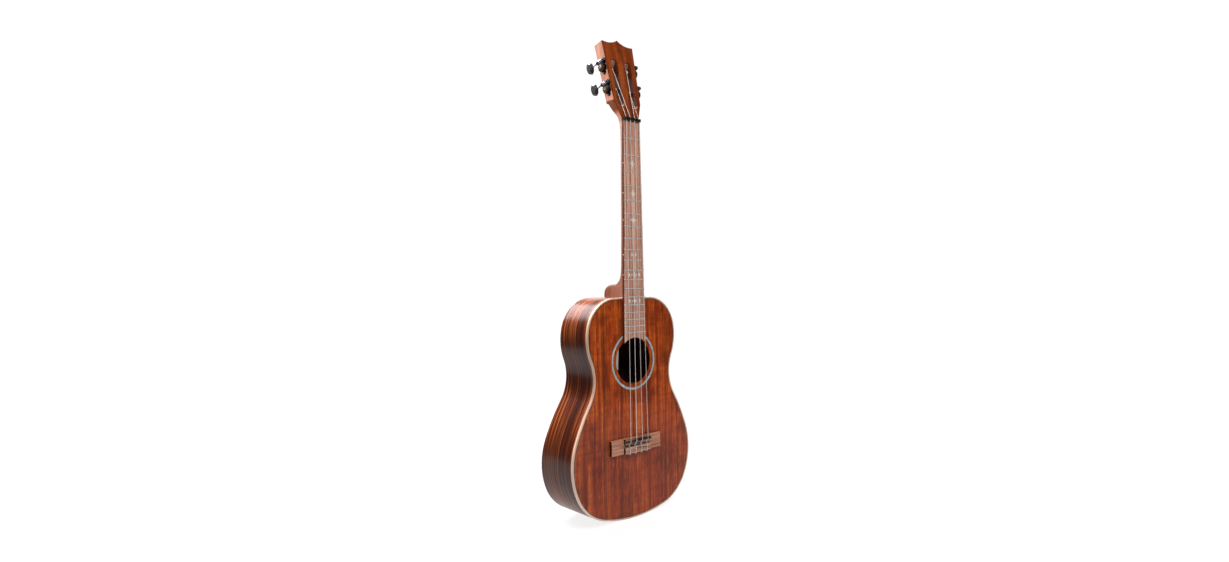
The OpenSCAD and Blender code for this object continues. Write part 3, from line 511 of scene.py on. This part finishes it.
def catmull(points, steps):
    """Points of a smooth line through the given points."""
    ends = [2 * points[0] - points[1]] + points + [2 * points[-1] - points[-2]]
    line = []
    for i in range(1, len(ends) - 2):
        p0, p1, p2, p3 = ends[i - 1:i + 3]
        for k in range(steps):
            t = k / steps
            line.append(0.5 * (2 * p1 + (p2 - p0) * t + (2 * p0 - 5 * p1 + 4 * p2 - p3) * t ** 2
                               + (3 * p1 - p0 - 3 * p2 + p3) * t ** 3))
    return line + [points[-1]]


def angles(count):
    """count angles evenly round a circle."""
    return [2 * math.pi * k / count for k in range(count)]


def skin(bm, a, b):
    """Faces between two closed loops of as many points."""
    count = len(a)
    for k in range(count):
        bm.faces.new((a[k], a[(k + 1) % count], b[(k + 1) % count], b[k]))


def made(bm, name):
    """An object from a finished bmesh."""
    mesh = bpy.data.meshes.new(name)
    bm.to_mesh(mesh)
    bm.free()
    return link_object(name, mesh)


def tube(name, line, radius, sides=12):
    """Closed round tube along a line."""
    bm = bmesh.new()
    rings = []
    up = None
    for i, p in enumerate(line):
        ahead = (line[min(i + 1, len(line) - 1)] - line[max(i - 1, 0)]).normalized()
        if up is None:
            up = ahead.orthogonal().normalized()
        up = (up - ahead * up.dot(ahead)).normalized()
        across = ahead.cross(up)
        rings.append([
            bm.verts.new(p + radius * (math.cos(a) * up + math.sin(a) * across))
            for a in angles(sides)
        ])
    for a, b in zip(rings, rings[1:]):
        skin(bm, a, b)
    bm.faces.new(rings[0][::-1])
    bm.faces.new(rings[-1])
    bmesh.ops.recalc_face_normals(bm, faces=bm.faces)
    obj = made(bm, name)
    smooth(obj.data, 50)
    return obj


def ring_plate(name, centre, inner, outer, y0, y1, steps=160):
    """Flat ring facing -Y, from y0 back to y1."""
    bm = bmesh.new()
    loops = []
    for radius, y in ((inner, y0), (outer, y0), (outer, y1), (inner, y1)):
        loops.append([
            bm.verts.new((centre[0] + radius * math.cos(a), y, centre[1] + radius * math.sin(a)))
            for a in angles(steps)
        ])
    for a, b in zip(loops, loops[1:] + loops[:1]):
        skin(bm, a, b)
    bmesh.ops.recalc_face_normals(bm, faces=bm.faces)
    obj = made(bm, name)
    smooth(obj.data, 40)
    return obj


def disc(name, radius, z, steps=96):
    """Flat round sheet at height z."""
    bm = bmesh.new()
    bmesh.ops.create_circle(bm, cap_ends=True, segments=steps, radius=radius)
    for v in bm.verts:
        v.co.z = z
    return made(bm, name)


# ---------------------------------------------------------------- camera
CAMERA_AT = Vector((-0.75151, -0.85532, 0.38163))
AZIMUTH, ELEVATION, ROLL = (math.radians(a) for a in (-41.0886, -0.0320, -0.8822))
LENS, SENSOR = 20.0975, 36


def place_camera():
    """The photo's viewpoint."""
    ahead = Vector((-math.sin(AZIMUTH) * math.cos(ELEVATION),
                    math.cos(AZIMUTH) * math.cos(ELEVATION), -math.sin(ELEVATION)))
    level = Vector((math.cos(AZIMUTH), math.sin(AZIMUTH), 0))
    above = level.cross(ahead)
    right = math.cos(ROLL) * level + math.sin(ROLL) * above
    up = -math.sin(ROLL) * level + math.cos(ROLL) * above
    data = bpy.data.cameras.new("camera")
    data.lens = LENS
    data.sensor_width = SENSOR
    data.sensor_fit = "HORIZONTAL"
    data.clip_start = 0.01
    camera = link_object("camera", data)
    camera.matrix_world = Matrix.Translation(CAMERA_AT) @ Matrix(
        (right, up, -ahead)).transposed().to_4x4()
    bpy.context.scene.camera = camera


place_camera()

# ---------------------------------------------------------------- body
for half in ("left", "right"):
    refined(f"rib_{half}", f"side_{half}", KOA_SIDE, bevel=0.25 * MM)
back = refined("back_plate", "back", KOA_BACK, bevel=1.0 * MM, segments=3)
# painted shade on the back's inner face
paint(back, KOA_INSIDE_SHADED, lambda centre, normal: normal.y < -0.9)
refined("binding", "edge_binding", MAPLE, bevel=0.7 * MM, segments=3)
refined("soundboard", "top", KOA_TOP, bevel=0.25 * MM)
dress("purfling", PURFLING)
dress("rosette", PEARL_RING)
LINE_HALF_W, LINE_PROUD, LINE_DEPTH = 0.35 * MM, 0.04 * MM, 0.5 * MM
for label, radius in zip(("inner", "outer"), ROSETTE_R):
    line = ring_plate(f"rosette_line_{label}", (0, Z_HOLE), radius - LINE_HALF_W,
                      radius + LINE_HALF_W, Y_FRONT - LINE_PROUD, Y_FRONT + LINE_DEPTH)
    settle(line, PURFLING)
for node, material in {
    "lining_front": PALE_WOOD, "lining_back": PALE_WOOD, "head_block": PALE_WOOD,
    "tail_block": PALE_WOOD, "transverse_braces": SPRUCE, "fan_braces": SPRUCE,
    "bridge_plate": PALE_WOOD, "back_braces": SPRUCE, "back_strip": SPRUCE,
    "inner_label": LABEL_GLOWING, "fret_markers": PEARL_INLAY, "side_dots": PEARL_INLAY,
}.items():
    dress(node, material)

# ---------------------------------------------------------------- neck and headstock
SLOTS_HALF_W = 21.6 * MM
SLOTS_LOW_S, SLOTS_HIGH_S = 30 * MM, 115 * MM


def in_slot(centre, normal):
    """Is this a wall of one of the headstock's slots?"""
    beside = abs(normal.dot(HEAD_BACK)) < 0.3 and abs(normal.x) > 0.55
    along = (centre - HEAD_ORIGIN).dot(HEAD_UP)
    return beside and abs(centre.x) < SLOTS_HALF_W and SLOTS_LOW_S < along < SLOTS_HIGH_S


neck = refined("neck", "neck_wood", MAHOGANY, bevel=0.4 * MM, angle=32, level=True)
paint(neck, SLOT_WOOD, in_slot)
refined("headstock_veneer", "headstock_face", KOA_HEAD, bevel=0.4 * MM)
board = refined("fretboard", "fingerboard", BOARD_WOOD, bevel=0.25 * MM)
paint(board, BOARD_EDGE, lambda centre, normal: (
    abs(normal.x) > 0.8 and abs(centre.x) > 16 * MM))
refined("frets", "fret_wires", FRET_WIRE, bevel=0.12 * MM)
refined("nut", "nut_bar", BONE, bevel=0.35 * MM)

# ---------------------------------------------------------------- bridge
bridge = refined("bridge", "bridge_body", BRIDGE_WOOD, bevel=0.4 * MM, segments=3)
paint(bridge, BRIDGE_END, lambda centre, normal: (
    abs(normal.x) > 0.7 and abs(centre.x) > 26 * MM))
refined("saddle", "saddle_bar", BONE, bevel=0.2 * MM)
refined("tie_block_trim", "tie_trim", TRIM, bevel=0.15 * MM)

# ---------------------------------------------------------------- strings
def front_point(x, height, z):
    """Point at x and z, height in front of the top."""
    return Vector((x, Y_FRONT - height, z))


def string_strand(n):
    """String n, from its roller over the nut and the saddle to its knot on the tie block."""
    r = STRING_R[n]
    side = SIDE[n]
    nut_x = (2.5 - n) * NUT_PITCH
    x = (2.5 - n) * SADDLE_PITCH
    lane = LANE_X[n]
    axis_s = ROLLER_S[n] + (side_half_w(ROLLER_S[n]) - lane) * math.tan(SIDE_TAPER)
    straight = [
        head_point(side * lane, ROLLER_DEPTH - ROLLER_R - r - ROLLER_GAP, axis_s),
        front_point(nut_x, NUT_STRING_H, Z_NUT + NUT_T - 0.3 * MM),
        front_point(nut_x, NUT_STRING_H, Z_NUT + 0.3 * MM),
        front_point(x, SADDLE_STRING_H, Z_SADDLE + 0.6 * MM),
    ]
    through = [
        front_point(x, SADDLE_STRING_H, Z_SADDLE - 0.4 * MM),
        front_point(x, TIE_HOLE_H, TIE_TOP + 0.4 * MM),
        front_point(x, TIE_HOLE_H, BRIDGE_LOW - 0.5 * MM),
    ]
    knot = [
        front_point(x + 0.1 * MM, TIE_HOLE_H + 0.7 * MM, BRIDGE_LOW - 1.5 * MM),
        front_point(x + 0.3 * MM, BLOCK_H - 0.6 * MM, BRIDGE_LOW - 1.4 * MM),
        front_point(x + 0.5 * MM, BLOCK_H + r + 0.1 * MM, BRIDGE_LOW - 0.3 * MM),
        front_point(x + 0.8 * MM, BLOCK_H + r + 0.1 * MM, TIE_TOP + 0.1 * MM),
        front_point(x + 1.0 * MM, BLOCK_H - 0.3 * MM, TIE_TOP + 1.3 * MM),
        front_point(x + 1.15 * MM, BLOCK_H - 1.6 * MM, TIE_TOP + 1.5 * MM),
    ]
    strand = tube(f"string_{n}_strand", straight + through + catmull(knot, 4), r)
    settle(strand, NYLON, replaced=[f"string_{n}"])


def string_winding(n):
    """The turns of string n on its roller, which go round with it."""
    r = STRING_R[n]
    side = SIDE[n]
    half_w = side_half_w(ROLLER_S[n])
    up = (RIGHT * side * math.sin(SIDE_TAPER) + HEAD_UP * math.cos(SIDE_TAPER)).normalized()
    out = (RIGHT * side * math.cos(SIDE_TAPER) - HEAD_UP * math.sin(SIDE_TAPER)).normalized()
    origin = head_point(side * half_w, ROLLER_DEPTH, ROLLER_S[n])
    begin = LANE_X[n] - half_w
    pitch = 2 * r + 0.08 * MM
    per_turn = 20
    coil = []
    for k in range(WINDING_TURNS * per_turn + 1):
        angle = 2 * math.pi * k / per_turn
        along = begin + 0.1 * MM + pitch * (0.5 + k / per_turn)
        coil.append(origin + out * along
                    + (ROLLER_R + r) * (-math.cos(angle) * HEAD_BACK + math.sin(angle) * up))
    settle(tube(f"winding_{n}_coil", coil, r, 10), NYLON,
           f"tuner_{n}_post", [f"winding_{n}"])


for n in TUNERS:
    string_strand(n)
    string_winding(n)

# ---------------------------------------------------------------- tuners
for n in TUNERS:
    worm, post = f"tuner_{n}_worm", f"tuner_{n}_post"
    refined(f"tuner_plate_{n}", f"plate_{n}", GUNMETAL, bevel=0.2 * MM)
    refined(f"string_roller_{n}", f"roller_{n}", ROLLER, bevel=0.2 * MM,
            body=post)
    refined(f"tuner_gear_{n}", f"gear_{n}", GEAR_RIM, bevel=0.08 * MM, body=post)
    refined(f"gear_screw_{n}", f"screw_{n}", BRASS, bevel=0.12 * MM, body=post)
    refined(f"worm_shaft_{n}", f"worm_{n}", WORM, bevel=0, body=worm)
    refined(f"tuner_button_{n}", f"button_{n}", BUTTON, bevel=0.5 * MM,
            segments=3, angle=20, body=worm)
refined("plate_screws", "plate_screw_set", SCREW, bevel=0.12 * MM)

# ---------------------------------------------------------------- floor and light
FLOOR_R = 1.0
FLOOR_GAP = 0.3 * MM
FLOOR_GLOW = 0.85

floor_look = Nodes("floor_paint")
floor_colour = floor_look.ramp(floor_look.noise((2, 2, 2), detail=3),
                               [(0.3, (0.24,) * 3), (0.7, (0.28,) * 3)])
floor_look.finish(floor_colour, 0.8, None, 0, 0, Emission_Color=(1, 1, 1, 1),
                  Emission_Strength=FLOOR_GLOW)
floor = disc("floor", FLOOR_R, -FLOOR_GAP)
floor.data.materials.append(floor_look.mat)


def softbox(name, at, target, size, power, colour=(1, 1, 1), pieces=None):
    """Square or oblong lamp that faces target and, where pieces are given, lights only them."""
    data = bpy.data.lights.new(name, "AREA")
    data.shape = "RECTANGLE"
    data.size, data.size_y = size
    data.energy = power
    data.color = colour
    lamp = link_object(name, data)
    lamp.location = at
    lamp.rotation_euler = (Vector(target) - Vector(at)).to_track_quat("-Z", "Y").to_euler()
    lamp.visible_camera = False
    if pieces is not None:
        group = bpy.data.collections.new(f"{name}_lights")
        for piece in pieces:
            group.objects.link(piece)
        lamp.light_linking.receiver_collection = group


all_pieces = [obj for obj in bpy.context.scene.objects
              if obj.type == "MESH" and obj is not floor]


def named(*starts):
    """The pieces whose names start so."""
    return [obj for obj in all_pieces if obj.name.startswith(starts)]


softbox("head_left", (-1.0, -0.12, 0.8), (0, 0, 0.7), (0.3, 0.3), 11, (1.0, 0.97, 0.95),
        named("neck_wood", "plate_", "gear_", "screw_", "worm_", "button_", "roller_"))
softbox("overhead_back", (-0.16, 0.3, 1.8), (0, 0, 0.2), (0.6, 0.6), 88, (1.0, 0.97, 0.94),
        [obj for obj in all_pieces if obj.name != "neck_wood"])
softbox("neck_front", (-0.3, -0.8, 1.1), (0, 0, 0.66), (0.3, 0.3), 4,
        pieces=named("fingerboard", "bridge_"))
softbox("front_high", (-0.3, -1.2, 1.5), (0, 0, 0.5), (1.0, 0.7), 22)
softbox("back_high", (-0.3, 1.5, 1.5), (0, 0, 0.4), (1.2, 0.9), 30, (0.97, 0.97, 1.0))
softbox("back_right", (1.2, 1.6, 0.7), (0, 0, 0.4), (1.0, 1.2), 8)


def studio():
    """A white backdrop for the camera, and a dim cool room for everything else."""
    world = bpy.data.worlds.new("studio")
    world.use_nodes = True
    bpy.context.scene.world = world
    tree = world.node_tree
    shown = tree.nodes["Background"]
    shown.inputs["Color"].default_value = (1, 1, 1, 1)
    shown.inputs["Strength"].default_value = 1.05
    room = tree.nodes.new("ShaderNodeBackground")
    room.inputs["Color"].default_value = (0.95, 0.97, 1, 1)
    room.inputs["Strength"].default_value = 0.08
    path = tree.nodes.new("ShaderNodeLightPath")
    mix = tree.nodes.new("ShaderNodeMixShader")
    tree.links.new(path.outputs["Is Camera Ray"], mix.inputs[0])
    tree.links.new(room.outputs[0], mix.inputs[1])
    tree.links.new(shown.outputs[0], mix.inputs[2])
    tree.links.new(mix.outputs[0], tree.nodes["World Output"].inputs["Surface"])


studio()
bpy.context.scene.view_settings.view_transform = "Standard"
bpy.context.scene.view_settings.look = "None"
